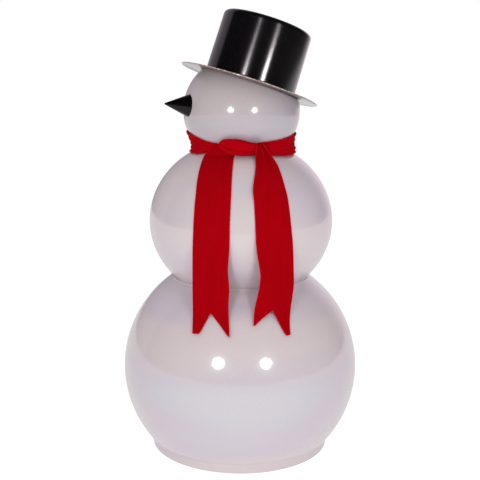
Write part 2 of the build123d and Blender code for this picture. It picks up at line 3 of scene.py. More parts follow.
import json
from math import atan2, cos, degrees, exp, hypot, pi, radians, sin, sqrt, tan

import bpy
from mathutils import Matrix, Vector, noise


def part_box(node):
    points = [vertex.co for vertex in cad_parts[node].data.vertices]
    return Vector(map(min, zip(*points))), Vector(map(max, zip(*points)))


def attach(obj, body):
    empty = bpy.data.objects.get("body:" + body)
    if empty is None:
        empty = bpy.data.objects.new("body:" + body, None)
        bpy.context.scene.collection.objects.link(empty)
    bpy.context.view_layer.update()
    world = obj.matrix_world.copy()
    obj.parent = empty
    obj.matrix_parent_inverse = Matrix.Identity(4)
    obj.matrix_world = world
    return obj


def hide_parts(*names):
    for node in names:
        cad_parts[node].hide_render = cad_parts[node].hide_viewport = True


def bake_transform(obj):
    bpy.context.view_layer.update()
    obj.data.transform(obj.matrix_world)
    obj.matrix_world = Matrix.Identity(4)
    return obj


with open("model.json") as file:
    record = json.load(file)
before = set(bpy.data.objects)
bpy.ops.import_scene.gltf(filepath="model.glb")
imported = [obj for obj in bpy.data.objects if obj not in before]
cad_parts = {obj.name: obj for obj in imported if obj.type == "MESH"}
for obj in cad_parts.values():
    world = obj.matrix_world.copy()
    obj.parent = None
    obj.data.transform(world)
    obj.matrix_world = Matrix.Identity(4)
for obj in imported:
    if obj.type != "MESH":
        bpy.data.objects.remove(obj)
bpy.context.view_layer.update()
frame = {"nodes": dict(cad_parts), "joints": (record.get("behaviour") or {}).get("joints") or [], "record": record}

# ---------------------------------------------------------------- sizes, in metres
MM = 0.001
joints = {joint["name"]: joint for joint in frame["joints"]}

WALL = 4 * MM
ROUND_STEPS = 160  # faces around a ball
ARC_STEPS = 360  # points round a whole ball section
NECK_RADIUS = 118.3 * MM
WAIST_RADIUS = 189 * MM
FOOT_RADIUS = 251 * MM
FOOT_OVERHANG = 9 * MM
FOOT_EDGE_ROUND = 5 * MM
FOOT_ROOT_ROUND = 3.5 * MM
FLANGE = 5 * MM
FLANGE_WIDTH = 38 * MM
NECK_HOLE_RADIUS = 84.4 * MM


def share(radius, at_radius):
    """How high above its centre an ellipsoid is at_radius wide, as a share of its half height."""
    return sqrt(1 - (at_radius / radius) ** 2)


class Ball:
    """An ellipsoid of revolution about Z."""

    def __init__(self, centre, radius, half_height):
        self.centre = centre
        self.radius = radius
        self.half_height = half_height

    def reach(self, z, gap=0.0):
        """Its radius at height z, or that of a layer standing gap off it; 0 above and below it."""
        up = (z - self.centre) / (self.half_height + gap)
        return (self.radius + gap) * sqrt(max(0.0, 1 - up * up))


def widest(node):
    low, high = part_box(node)
    return (high.x - low.x) / 2


foot_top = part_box("base_disc")[1].z
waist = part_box("lower_ball")[1].z
middle_low, middle_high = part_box("middle_ball")
neck = middle_high.z
head_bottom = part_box("head_ball")[0].z
head_centre = joints["head_turn"]["pos_m"][2]

lower_radius = widest("lower_ball")
middle_radius = widest("middle_ball")
head_radius = widest("head_ball")
lower_share = share(lower_radius, FOOT_RADIUS + FOOT_OVERHANG)
lower_half = (waist - foot_top) / (lower_share + share(lower_radius, WAIST_RADIUS))
middle_shares = share(middle_radius, WAIST_RADIUS), share(middle_radius, NECK_RADIUS)
middle_half = (neck - middle_low.z) / sum(middle_shares)
head_half = (head_centre - head_bottom) / share(head_radius, NECK_RADIUS)
LOWER = Ball(foot_top + lower_half * lower_share, lower_radius, lower_half)
MIDDLE = Ball(middle_low.z + middle_half * middle_shares[0], middle_radius, middle_half)
HEAD = Ball(head_centre, head_radius, head_half)

HAT_CENTRE = Vector(joints["hat_turn"]["pos_m"])
HAT_UP = Vector(joints["hat_turn"]["axis"]).normalized()
HAT_TURN = HAT_UP.to_track_quat("Z", "Y").to_matrix().to_4x4()
HAT_GASKET = 3 * MM
HAT_OPENING = 118 * MM
HAT_WALL = 3 * MM
BRIM_RADIUS = 193 * MM
CROWN_BASE = 126 * MM
CROWN_TOP = 123.5 * MM
CROWN_HEIGHT = 176 * MM
CROWN_TOP_ROUND = 13 * MM
CROWN_FOOT_ROUND = 9 * MM
RIM_PLANE = HAT_CENTRE - HAT_UP * HAT_GASKET


# ---------------------------------------------------------------- modelling helpers
def deselect():
    bpy.ops.object.select_all(action="DESELECT")


def pick(piece, test):
    """Select the vertices of the piece in edit mode whose place passes the test."""
    bpy.ops.mesh.select_mode(type="VERT")
    bpy.ops.mesh.select_all(action="DESELECT")
    bpy.ops.object.mode_set(mode="OBJECT")
    for vertex in piece.data.vertices:
        vertex.select = test(vertex.co)
    bpy.ops.object.mode_set(mode="EDIT")


def near(x, z, within=0.2 * MM):
    """A test for a place in the XZ plane."""
    return lambda place: hypot(place.x - x, place.z - z) < within


def start_profile(name, x, z):
    """A new piece that is one vertex in the XZ plane, in edit mode."""
    deselect()
    bpy.ops.mesh.primitive_plane_add(size=0.01, location=(0, 0, 0))
    piece = bpy.context.object
    piece.name = name
    bpy.ops.object.mode_set(mode="EDIT")
    bpy.ops.mesh.select_all(action="SELECT")
    bpy.ops.mesh.merge(type="CENTER")
    bpy.ops.transform.translate(value=(x, 0, z))
    return piece


def run_to(here, there):
    """Extrude the selected end of a profile from one place to another."""
    bpy.ops.mesh.extrude_vertices_move(
        TRANSFORM_OT_translate={"value": (there[0] - here[0], 0, there[1] - here[1])})


def round_corner(piece, x, z, radius, opening, steps):
    """Round a profile's corner, whose two sides are opening degrees apart."""
    pick(piece, near(x, z))
    bpy.ops.mesh.bevel(offset=radius / tan(radians(opening) / 2), segments=steps, affect="VERTICES",
                       offset_type="OFFSET", profile=0.5, clamp_overlap=False)


def spin_round(piece, steps=ROUND_STEPS):
    """Spin the profile about Z into a closed turn, and close its seam."""
    bpy.ops.mesh.select_mode(type="VERT")
    bpy.ops.mesh.select_all(action="SELECT")
    bpy.ops.mesh.spin(steps=steps, angle=2 * pi, center=(0, 0, 0), axis=(0, 0, 1))
    bpy.ops.mesh.select_all(action="SELECT")
    bpy.ops.mesh.remove_doubles(threshold=0.01 * MM)
    bpy.ops.mesh.normals_make_consistent(inside=False)
    bpy.ops.object.mode_set(mode="OBJECT")


def make_only(piece):
    deselect()
    piece.select_set(True)
    bpy.context.view_layer.objects.active = piece


def finish_piece(piece, smooth_angle=35):
    """Smooth the shading and put the piece's place into its mesh."""
    make_only(piece)
    bpy.ops.object.transform_apply(location=True, rotation=True, scale=True)
    bpy.ops.object.shade_smooth_by_angle(angle=radians(smooth_angle))


def apply_modifier(piece, kind, **settings):
    make_only(piece)
    modifier = piece.modifiers.new(kind.lower(), kind)
    for name, value in settings.items():
        setattr(modifier, name, value)
    bpy.ops.object.modifier_apply(modifier=modifier.name)


def join(piece, *others):
    make_only(piece)
    for other in others:
        other.select_set(True)
    bpy.ops.object.join()


# ---------------------------------------------------------------- materials
class Nodes:
    """A node tree; add() makes a node and fills its inputs, which are named, or numbered as i0, i1..."""

    def __init__(self, tree):
        self.tree = tree

    def fill(self, node, inputs):
        for name, value in inputs.items():
            socket = node.inputs[name]
            if isinstance(value, bpy.types.NodeSocket):
                self.tree.links.new(value, socket)
            else:
                socket.default_value = value

    def add(self, kind, settings=None, **inputs):
        node = self.tree.nodes.new("ShaderNode" + kind)
        for name, value in (settings or {}).items():
            setattr(node, name, value)
        self.fill(node, {socket_key(name): value for name, value in inputs.items()})
        return node


def socket_key(name):
    return int(name[1:]) if name.startswith("i") and name[1:].isdigit() else name.replace("_", " ")


class Shader(Nodes):
    """A new material with one Principled BSDF."""

    def __init__(self, name, **constants):
        self.material = bpy.data.materials.new(name)
        self.material.use_nodes = True
        super().__init__(self.material.node_tree)
        self.surface = self.tree.nodes["Principled BSDF"]
        self.fill(self.surface, constants)


class Effect(Nodes):
    """A new shader node group with named inputs and outputs."""

    def __init__(self, name, inputs, outputs):
        super().__init__(bpy.data.node_groups.new(name, "ShaderNodeTree"))
        for socket_name, kind, value in inputs:
            socket = self.tree.interface.new_socket(socket_name, in_out="INPUT", socket_type=kind)
            socket.default_value = value
        for socket_name, kind in outputs:
            self.tree.interface.new_socket(socket_name, in_out="OUTPUT", socket_type=kind)
        self.given = self.tree.nodes.new("NodeGroupInput").outputs
        self.put_out = self.tree.nodes.new("NodeGroupOutput")

    def output(self, **sockets):
        self.fill(self.put_out, {socket_key(name): socket for name, socket in sockets.items()})


def calculate(shader, operation, first, second=0.0, third=0.0):
    return shader.add("Math", {"operation": operation}, i0=first, i1=second, i2=third).outputs[0]


def spread(shader, value, low, high, out_low, out_high):
    """A value mapped smoothly from one range to another."""
    node = shader.add("MapRange", {"interpolation_type": "SMOOTHSTEP"}, Value=value, From_Min=low,
                      From_Max=high, To_Min=out_low, To_Max=out_high)
    return node.outputs["Result"]


def mix_colours(shader, factor, first, second, blend_type="MIX"):
    node = shader.add("Mix", {"data_type": "RGBA", "blend_type": blend_type},
                      i0=factor, i6=first, i7=second)
    return node.outputs[2]


def object_place(shader):
    return shader.add("TexCoord").outputs["Object"]


def noise_value(shader, place, scale, detail=2.0, roughness=0.5):
    node = shader.add("TexNoise", None, Vector=place, Scale=scale, Detail=detail, Roughness=roughness)
    return node.outputs["Fac"]


def place_effect(shader, effect, **inputs):
    return shader.add("Group", {"node_tree": effect.tree}, **inputs).outputs


def make_skin_marks():
    """Faint scratches and dust on a hard glossy skin: a roughness and a dust mask."""
    effect = Effect("skin marks",
                    [("Roughness", "NodeSocketFloat", 0.1), ("Scratches", "NodeSocketFloat", 0.1),
                     ("Size", "NodeSocketFloat", 30.0)],
                    [("Roughness", "NodeSocketFloat"), ("Dust", "NodeSocketFloat")])
    place = object_place(effect)
    bent = effect.add("Mapping", None, Vector=place, Rotation=(0.5, 0.3, 0.9),
                      Scale=(1.0, 14.0, 3.0)).outputs[0]
    lines = spread(effect, noise_value(effect, bent, effect.given["Size"], 3.0, 0.6), 0.60, 0.72, 0.0, 1.0)
    patches = spread(effect, noise_value(effect, place, 5.0, 3.0), 0.45, 0.65, 0.0, 1.0)
    marks = calculate(effect, "MULTIPLY", lines, patches)
    marks = calculate(effect, "MULTIPLY", marks, effect.given["Scratches"])
    specks = spread(effect, noise_value(effect, place, 420.0, 1.0), 0.70, 0.78, 0.0, 1.0)
    effect.output(Roughness=calculate(effect, "ADD", effect.given["Roughness"], marks),
                  Dust=calculate(effect, "MULTIPLY", specks, patches))
    return effect


def make_grain():
    """Fine grain: a value about a half, and the normal it gives."""
    effect = Effect("grain", [("Size", "NodeSocketFloat", 200.0), ("Depth", "NodeSocketFloat", 0.1)],
                    [("Value", "NodeSocketFloat"), ("Normal", "NodeSocketVector")])
    value = noise_value(effect, object_place(effect), effect.given["Size"], 4.0, 0.6)
    bump = effect.add("Bump", None, Height=value, Strength=effect.given["Depth"], Distance=0.5 * MM)
    effect.output(Value=value, Normal=bump.outputs[0])
    return effect


SKIN_MARKS = make_skin_marks()
GRAIN = make_grain()

CREAM = (0.76, 0.675, 0.685, 1)
ROSE = (0.745, 0.635, 0.675, 1)
LILAC = (0.700, 0.635, 0.705, 1)
SKY = (0.690, 0.670, 0.715, 1)
PEARL_BAND = 2.6  # how much closer the tints change up the balls than the noise would


def pearl_lacquer(name, shift, painted_shade_factor):
    """White lacquer with a pearl coat, whose tint drifts in soft level bands that start at shift. The last
    argument scales the whole colour down: painted shade, for the head under the hat's brim.
    """
    shader = Shader(name, **{"Coat Weight": 1.0, "Coat Roughness": 0.07, "Coat IOR": 1.5, "IOR": 1.45,
                             "Thin Film Thickness": 380.0, "Thin Film IOR": 1.4})
    place = object_place(shader)
    level = shader.add("Mapping", None, Vector=place, Location=(0, 0, shift),
                       Scale=(0.45, 0.45, PEARL_BAND)).outputs[0]
    drift = noise_value(shader, level, 2.4, 2.0, 0.45)
    ramp = shader.add("ValToRGB", None, Fac=drift)
    ramp.color_ramp.interpolation = "EASE"
    elements = ramp.color_ramp.elements
    elements[0].position, elements[0].color = 0.30, SKY
    elements[1].position, elements[1].color = 0.72, ROSE
    for position, colour in ((0.44, LILAC), (0.58, CREAM)):
        elements.new(position).color = colour
    flake = noise_value(shader, place, 700.0, 1.0)
    # The fleck grey also carries the painted shade: below 1 it darkens the whole colour.
    flecks_and_painted_shade = spread(shader, flake, 0.35, 0.75, 0.96 * painted_shade_factor, 1.05 * painted_shade_factor)
    tint = shader.add("CombineColor", None, Red=flecks_and_painted_shade, Green=flecks_and_painted_shade, Blue=flecks_and_painted_shade).outputs[0]
    colour = mix_colours(shader, 1.0, ramp.outputs[0], tint, "MULTIPLY")
    marks = place_effect(shader, SKIN_MARKS, Roughness=0.24, Scratches=0.10, Size=26.0)
    peel = shader.add("Bump", None, Height=noise_value(shader, place, 85.0, 2.0), Strength=0.05,
                      Distance=0.4 * MM).outputs[0]
    dust = calculate(shader, "MULTIPLY", marks["Dust"], 0.25)
    dusty = mix_colours(shader, dust, colour, (0.42, 0.39, 0.37, 1))
    shader.fill(shader.surface, {"Base Color": dusty, "Roughness": marks["Roughness"], "Normal": peel})
    return shader.material


def gloss_black(name, roughness, **constants):
    """Formed gloss black plastic with a few scratches and some dust: the shader and its colour."""
    shader = Shader(name, **{"IOR": 1.5, "Specular IOR Level": 0.15, **constants})
    marks = place_effect(shader, SKIN_MARKS, Roughness=roughness, Scratches=0.12, Size=40.0)
    dust = calculate(shader, "MULTIPLY", marks["Dust"], 0.5)
    colour = mix_colours(shader, dust, (0.003, 0.0025, 0.003, 1), (0.10, 0.09, 0.09, 1))
    ripple = shader.add("Bump", None, Height=noise_value(shader, object_place(shader), 9.0, 2.0),
                        Strength=0.12, Distance=2 * MM).outputs[0]
    shader.fill(shader.surface, {"Base Color": colour, "Roughness": marks["Roughness"], "Normal": ripple})
    return shader, colour


def hat_plastic(name):
    """Gloss black whose shine is drawn out along the crown, with a pale band painted on the brim's trimmed edge: a
    painted reflection.
    """
    shader, black = gloss_black(name, 0.21, **{"Anisotropic": 0.93, "Coat Weight": 1.0,
                                               "Coat Roughness": 0.14})
    along = shader.add("VectorTransform", {"vector_type": "VECTOR", "convert_from": "OBJECT",
                                           "convert_to": "WORLD"}, Vector=HAT_UP).outputs[0]
    place = object_place(shader)
    upright = HAT_TURN.inverted()
    moved = shader.add("Mapping", {"vector_type": "POINT"}, Vector=place, Location=upright @ (-HAT_CENTRE),
                       Rotation=upright.to_euler()).outputs[0]
    parts = shader.add("SeparateXYZ", None, Vector=moved).outputs
    flat = shader.add("CombineXYZ", None, X=parts[0], Y=parts[1]).outputs[0]
    out = shader.add("VectorMath", {"operation": "LENGTH"}, i0=flat).outputs["Value"]
    # Painted reflection: the brim's edge is painted pale, broken up by noise.
    cut = spread(shader, out, BRIM_RADIUS - 1.2 * MM, BRIM_RADIUS - 0.4 * MM, 0.0, 1.0)
    rim_reflection_breaks = spread(shader, noise_value(shader, place, 160.0, 3.0), 0.35, 0.65, 0.35, 1.0)
    black_with_painted_rim_reflection = mix_colours(shader, calculate(shader, "MULTIPLY", cut, rim_reflection_breaks), black, (0.55, 0.41, 0.37, 1))
    shader.fill(shader.surface, {"Base Color": black_with_painted_rim_reflection, "Tangent": along})
    return shader.material


def nose_plastic(name):
    return gloss_black(name, 0.12, **{"Coat Weight": 0.3, "Coat Roughness": 0.03})[0].material


CLOTH_RED = (0.42, 0.0001, 0.0045, 1)
CLOTH_DARK = (0.385, 0.0001, 0.0036, 1)
# The brighter red is painted light: sheen on the hem, and light on the band and knot.
CLOTH_PAINTED_LIGHT_RED = (0.60, 0.0005, 0.0090, 1)


def scarf_cloth(name, painted_light=0.0):
    """Brushed red cloth; its pattern follows the UV map, in metres along (V) and across (U) the strip.

    The last argument, from 0 to 1, brings it to a brighter red: painted light, for the sheen along its edges and
    the lit band and knot.
    """
    shader = Shader(name, **{"Roughness": 0.9, "Sheen Weight": 0.25, "Sheen Roughness": 0.35,
                             "Sheen Tint": (1.0, 0.0, 0.03, 1), "Specular IOR Level": 0.02})
    strip = shader.add("TexCoord").outputs["UV"]
    streaks = shader.add("Mapping", None, Vector=strip, Scale=(210.0, 7.0, 1.0)).outputs[0]
    pile = noise_value(shader, streaks, 1.0, 3.0, 0.55)
    clouds = noise_value(shader, strip, 34.0, 2.0)
    tone = calculate(shader, "MULTIPLY_ADD", pile, 0.6, calculate(shader, "MULTIPLY", clouds, 0.4))
    colour = mix_colours(shader, spread(shader, tone, 0.34, 0.66, 0.0, 1.0), CLOTH_DARK, CLOTH_RED)
    across, along = (shader.add("TexWave", {"wave_type": "BANDS", "bands_direction": way}, Vector=strip,
                                Scale=threads, Distortion=1.2, Detail=1.0).outputs["Fac"]
                     for way, threads in (("X", 150.0), ("Y", 130.0)))
    fuzz = noise_value(shader, object_place(shader), 900.0, 2.0)
    height = calculate(shader, "ADD", calculate(shader, "MULTIPLY", across, along), fuzz)
    weave = shader.add("Bump", None, Height=height, Strength=0.25, Distance=0.4 * MM).outputs[0]
    # Painted light: mixes towards the brighter red.
    colour = mix_colours(shader, painted_light, colour, CLOTH_PAINTED_LIGHT_RED)
    shader.fill(shader.surface, {"Base Color": colour, "Normal": weave})
    return shader.material


def plain_finish(name, colour, dark, roughness, grain, depth, **constants):
    """A finish whose colour and roughness vary with its grain."""
    shader = Shader(name, **constants)
    fine = place_effect(shader, GRAIN, Size=grain, Depth=depth)
    varied = mix_colours(shader, spread(shader, fine["Value"], 0.35, 0.65, 0.0, 1.0), dark, colour)
    rough = spread(shader, fine["Value"], 0.3, 0.7, roughness - 0.06, roughness + 0.06)
    shader.fill(shader.surface, {"Base Color": varied, "Roughness": rough, "Normal": fine["Normal"]})
    return shader.material


# By material slot: name, colour, its darker shade, roughness, grain and how deep the grain is
FINISHES = {slot: plain_finish(name, (*colour, 1), (*dark, 1), *numbers, **constants)
            for slot, name, colour, dark, numbers, constants in (
    ("bearing_nylon", "turned nylon", (0.70, 0.69, 0.64), (0.62, 0.61, 0.56), (0.42, 60.0, 0.15), {}),
    ("seal_white", "white silicone", (0.86, 0.80, 0.83), (0.81, 0.75, 0.78), (0.5, 140.0, 0.1), {}),
    ("seal_foam", "pale closed-cell foam", (0.56, 0.47, 0.44), (0.46, 0.38, 0.35), (0.85, 700.0, 0.6), {}),
    ("pad_rubber", "moulded rubber", (0.035, 0.035, 0.036), (0.020, 0.020, 0.020), (0.7, 320.0, 0.4), {}),
    ("zinc_steel", "zinc plated steel", (0.62, 0.63, 0.64), (0.48, 0.49, 0.52), (0.33, 90.0, 0.1),
     {"Metallic": 1.0}),
    ("insert_brass", "turned brass", (0.72, 0.52, 0.22), (0.58, 0.40, 0.15), (0.30, 120.0, 0.1),
     {"Metallic": 1.0}),
    ("ballast_iron", "cast iron", (0.075, 0.072, 0.070), (0.045, 0.043, 0.042), (0.6, 240.0, 0.8),
     {"Metallic": 0.6}),
    ("base_white", "painted base board", (0.60, 0.56, 0.57), (0.54, 0.50, 0.51), (0.45, 50.0, 0.2), {}),
)}
NOSE_BLACK = nose_plastic("gloss black nose")
HAT_BLACK = hat_plastic("gloss black hat")
SCARF = scarf_cloth("brushed red cloth")
# The band and knot's lighter red is painted light, for their upward faces.
SCARF_PAINTED_LIT = scarf_cloth("brushed red cloth, gathered", 0.35)
# The hem's brighter red is a painted highlight along the scarf's edges.
SCARF_HEM_PAINTED_SHEEN = scarf_cloth("overlocked red edge", 0.75)


def dress(piece, material):
    piece.data.materials.clear()
    piece.data.materials.append(material)


# ---------------------------------------------------------------- balls
def ball_arc(name, ball, bottom, top):
    """The piece of a ball's outline between two heights, in the XZ plane, in edit mode."""
    deselect()
    bpy.ops.mesh.primitive_circle_add(vertices=ARC_STEPS, radius=ball.radius, rotation=(pi / 2, 0, 0))
    piece = bpy.context.object
    piece.name = name
    bpy.ops.object.transform_apply(location=True, rotation=True, scale=True)
    bpy.ops.object.mode_set(mode="EDIT")
    bpy.ops.mesh.select_all(action="SELECT")
    bpy.ops.transform.resize(value=(1, 1, ball.half_height / ball.radius), center_override=(0, 0, 0))
    bpy.ops.transform.translate(value=(0, 0, ball.centre))
    cuts = [((0, 0, bottom), (0, 0, -1)), ((0, 0, top), (0, 0, 1)), ((0, 0, 0), (-1, 0, 0))]
    for place, away in cuts:
        bpy.ops.mesh.select_all(action="SELECT")
        bpy.ops.mesh.bisect(plane_co=place, plane_no=away, clear_outer=True)
    return piece


def flange(name, inner, outer, low):
    """A flat ring of the shell's flange thickness, turned inwards from a ball's cut edge."""
    piece = start_profile(name, inner, low)
    corners = [(inner, low), (outer, low), (outer, low + FLANGE), (inner, low + FLANGE), (inner, low)]
    for here, there in zip(corners, corners[1:]):
        run_to(here, there)
    spin_round(piece)
    finish_piece(piece)
    return piece


def make_lower_ball():
    piece = ball_arc("lower_ball_skin", LOWER, foot_top, waist)
    edge = FOOT_RADIUS + FOOT_OVERHANG
    foot_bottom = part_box("base_disc")[0].z
    pick(piece, near(edge, foot_top, 0.5 * MM))
    run_to((edge, foot_top), (FOOT_RADIUS, foot_top))
    run_to((FOOT_RADIUS, foot_top), (FOOT_RADIUS, foot_bottom))
    side = degrees(atan2(LOWER.reach(foot_top + 1 * MM) - LOWER.reach(foot_top), 1 * MM))
    round_corner(piece, edge, foot_top, FOOT_EDGE_ROUND, 90 + side, 5)
    round_corner(piece, FOOT_RADIUS, foot_top, FOOT_ROOT_ROUND, 90, 4)
    spin_round(piece)
    apply_modifier(piece, "SOLIDIFY", thickness=WALL, offset=-1)
    finish_piece(piece)
    wall = LOWER.reach(waist - FLANGE) - WALL
    join(piece,
         flange("waist_flange_low", WAIST_RADIUS - FLANGE_WIDTH, wall, waist - FLANGE),
         flange("foot_flange", edge - FLANGE_WIDTH, FOOT_RADIUS + 2 * MM, foot_top))
    return piece


def make_middle_ball():
    piece = ball_arc("middle_ball_skin", MIDDLE, middle_low.z, neck)
    spin_round(piece)
    apply_modifier(piece, "SOLIDIFY", thickness=WALL, offset=-1)
    finish_piece(piece)
    join(piece,
         flange("waist_flange_high", WAIST_RADIUS - FLANGE_WIDTH, WAIST_RADIUS - WALL, middle_low.z),
         flange("neck_flange", NECK_HOLE_RADIUS, NECK_RADIUS - WALL, neck - FLANGE))
    return piece


def make_head_ball():
    """The head, cut off at the hat's slanting rim, which turns in to the seat ring's round opening."""
    above_rim = HEAD.centre + HEAD.half_height * 0.9
    piece = ball_arc("head_skin", HEAD, head_bottom, above_rim)
    spin_round(piece)
    bpy.ops.object.mode_set(mode="EDIT")
    bpy.ops.mesh.select_all(action="SELECT")
    bpy.ops.mesh.bisect(plane_co=RIM_PLANE, plane_no=HAT_UP, clear_outer=True)
    bpy.ops.mesh.select_all(action="DESELECT")
    bpy.ops.object.mode_set(mode="OBJECT")
    for vertex in piece.data.vertices:
        vertex.select = abs((vertex.co - RIM_PLANE).dot(HAT_UP)) < 0.01 * MM
    bpy.ops.object.mode_set(mode="EDIT")
    bpy.ops.mesh.select_mode(type="EDGE")
    bpy.ops.mesh.extrude_edges_move()
    bpy.ops.object.mode_set(mode="OBJECT")
    for vertex in piece.data.vertices:
        if vertex.select:
            out = vertex.co - RIM_PLANE
            out -= HAT_UP * out.dot(HAT_UP)
            vertex.co = RIM_PLANE + out.normalized() * HAT_OPENING
    apply_modifier(piece, "SOLIDIFY", thickness=WALL, offset=-1)
    finish_piece(piece)
    join(piece, flange("head_flange", NECK_HOLE_RADIUS, NECK_RADIUS - WALL, head_bottom))
    return piece


# ---------------------------------------------------------------- hat and nose
def make_hat():
    """Brim and crown as one formed sheet, modelled upright and then leaned into place."""
    inner_base = CROWN_BASE - HAT_WALL
    inner_top = CROWN_TOP - HAT_WALL
    under = CROWN_HEIGHT - HAT_WALL
    outline = [(0, CROWN_HEIGHT), (CROWN_TOP, CROWN_HEIGHT), (CROWN_BASE, HAT_WALL),
               (BRIM_RADIUS, HAT_WALL), (BRIM_RADIUS, 0), (inner_base, 0), (inner_top, under), (0, under)]
    piece = start_profile("hat", *outline[0])
    for here, there in zip(outline, outline[1:]):
        run_to(here, there)
    round_corner(piece, CROWN_TOP, CROWN_HEIGHT, CROWN_TOP_ROUND, 91, 10)
    round_corner(piece, inner_top, under, CROWN_TOP_ROUND - HAT_WALL, 91, 8)
    round_corner(piece, CROWN_BASE, HAT_WALL, CROWN_FOOT_ROUND, 91, 8)
    round_corner(piece, inner_base, 0, CROWN_FOOT_ROUND * 0.3, 91, 4)
    for level in (0, HAT_WALL):
        round_corner(piece, BRIM_RADIUS, level, HAT_WALL * 0.4, 90, 3)
    spin_round(piece, 192)
    piece.matrix_world = Matrix.Translation(HAT_CENTRE) @ HAT_TURN
    finish_piece(piece)
    return piece


NOSE_BASE_RADIUS = 30.2 * MM
NOSE_LENGTH = 71.2 * MM  # to where its side would meet the axis
NOSE_AZIMUTH = 23.7
NOSE_ELEVATION = 5.2
NOSE_TIP = 1.6 * MM  # the tip's radius where it is blunt
NOSE_TIP_ROUND = 2 * MM


def make_nose():
    """A cone seated on the head, with a softened tip."""
    level = cos(radians(NOSE_ELEVATION))
    out = Vector((-level * cos(radians(NOSE_AZIMUTH)), -level * sin(radians(NOSE_AZIMUTH)),
                  sin(radians(NOSE_ELEVATION))))
    surface = 1 / sqrt((level / HEAD.radius) ** 2 + (out.z / HEAD.half_height) ** 2)
    base = sqrt(surface**2 - NOSE_BASE_RADIUS**2)
    foot = -0.5 * MM
    blunt = foot + NOSE_LENGTH * (1 - NOSE_TIP / NOSE_BASE_RADIUS)
    outline = [(NOSE_BASE_RADIUS - 3 * MM, foot), (NOSE_BASE_RADIUS, foot), (NOSE_TIP, blunt), (0, blunt)]
    piece = start_profile("nose", *outline[0])
    for here, there in zip(outline, outline[1:]):
        run_to(here, there)
    side = degrees(atan2(NOSE_LENGTH, NOSE_BASE_RADIUS))
    round_corner(piece, NOSE_TIP, blunt, NOSE_TIP_ROUND, 180 - side, 5)
    spin_round(piece, 96)
    piece.matrix_world = (Matrix.Translation(Vector((0, 0, HEAD.centre)) + out * base)
                          @ out.to_track_quat("Z", "Y").to_matrix().to_4x4())
    finish_piece(piece)
    return piece


# ---------------------------------------------------------------- scarf
CLOTH_WIDTH = 92 * MM
CLOTH_THICKNESS = 2.2 * MM
CLOTH_GAP = 1.8 * MM  # between the cloth's middle and a ball
BAND_LEFT = 834 * MM  # the height at which a tail has left the band


def smooth_path(stations, at):
    """The values at a key, on a smooth curve through (key, value, ...) stations in order."""
    last = len(stations) - 1
    here = max(0, min(last - 1, sum(station[0] <= at for station in stations) - 1))
    before, a, b, after = (stations[max(0, min(last, here + step))] for step in (-1, 0, 1, 2))
    t = max(0.0, min(1.0, (at - a[0]) / (b[0] - a[0])))
    values = []
    for k in range(1, len(a)):
        slope_a = (b[k] - before[k]) / (b[0] - before[0]) * (b[0] - a[0])
        slope_b = (after[k] - a[k]) / (after[0] - a[0]) * (b[0] - a[0])
        values.append((2 * t**3 - 3 * t**2 + 1) * a[k] + (t**3 - 2 * t**2 + t) * slope_a
                      + (3 * t**2 - 2 * t**3) * b[k] + (t**3 - t**2) * slope_b)
    return values


def cloth_from(name, grid, uv, thickness=CLOTH_THICKNESS):
    """A strip of cloth from rows of places and rows of (across, along) positions in metres."""
    rows, columns = len(grid), len(grid[0])
    mesh = bpy.data.meshes.new(name)
    places = [place for row in grid for place in row]
    faces = [(r * columns + c, r * columns + c + 1, (r + 1) * columns + c + 1, (r + 1) * columns + c)
             for r in range(rows - 1) for c in range(columns - 1)]
    mesh.from_pydata(places, [], faces)
    flat = [position for row in uv for position in row]
    layer = mesh.uv_layers.new(name="strip")
    for corner in mesh.loops:
        layer.data[corner.index].uv = flat[corner.vertex_index]
    piece = bpy.data.objects.new(name, mesh)
    bpy.context.scene.collection.objects.link(piece)
    apply_modifier(piece, "SOLIDIFY", thickness=thickness, offset=0.0)
    finish_piece(piece, 60)
    return piece


def drape_profile(gap):
    """(distance, reach, height) down the front of the balls, with the turns softened.

    It lies over the middle ball, hangs straight down from its widest part, and lies over the lower one.
    """
    step = 2 * MM
    reach, height = [], []
    z = neck + 36 * MM
    while z > MIDDLE.centre:
        reach.append(max(MIDDLE.reach(z, gap), NECK_RADIUS))
        height.append(z)
        z -= step * max(0.15, MIDDLE.reach(z) / MIDDLE.radius)
    while z > LOWER.centre:
        reach.append(max(MIDDLE.radius + gap, LOWER.reach(z, gap)))
        height.append(z)
        z -= step
    span = 9
    eased = []
    for i in range(len(reach)):
        low, high = i - span, i + span + 1
        if low < 0 or high > len(reach):
            eased.append((reach[i], height[i]))
        else:
            eased.append((sum(reach[low:high]) / (high - low), sum(height[low:high]) / (high - low)))
    path = [(0.0, *eased[0])]
    for (r0, z0), (r1, z1) in zip(eased, eased[1:]):
        path.append((path[-1][0] + hypot(r1 - r0, z1 - z0), r1, z1))
    return path


DRAPE = drape_profile(CLOTH_GAP)


def drape_at_height(z):
    """The distance down the drape at a height, and its reach there."""
    for (s0, r0, z0), (s1, r1, z1) in zip(DRAPE, DRAPE[1:]):
        if z1 <= z <= z0:
            t = (z0 - z) / (z0 - z1) if z0 > z1 else 0
            return s0 + (s1 - s0) * t, r0 + (r1 - r0) * t
    return DRAPE[-1][0], DRAPE[-1][1]


def drape_at(distance):
    low, high = 0, len(DRAPE) - 1
    while high - low > 1:
        middle = (low + high) // 2
        if DRAPE[middle][0] <= distance:
            low = middle
        else:
            high = middle
    (s0, r0, z0), (s1, r1, z1) = DRAPE[low], DRAPE[high]
    t = (distance - s0) / (s1 - s0)
    return r0 + (r1 - r0) * t, z0 + (z1 - z0) * t


def soft(place, size, seed):
    """Smooth noise from -1 to 1 over features of a size."""
    return noise.noise(Vector(place) / size + Vector((seed, seed * 1.7, -seed)))


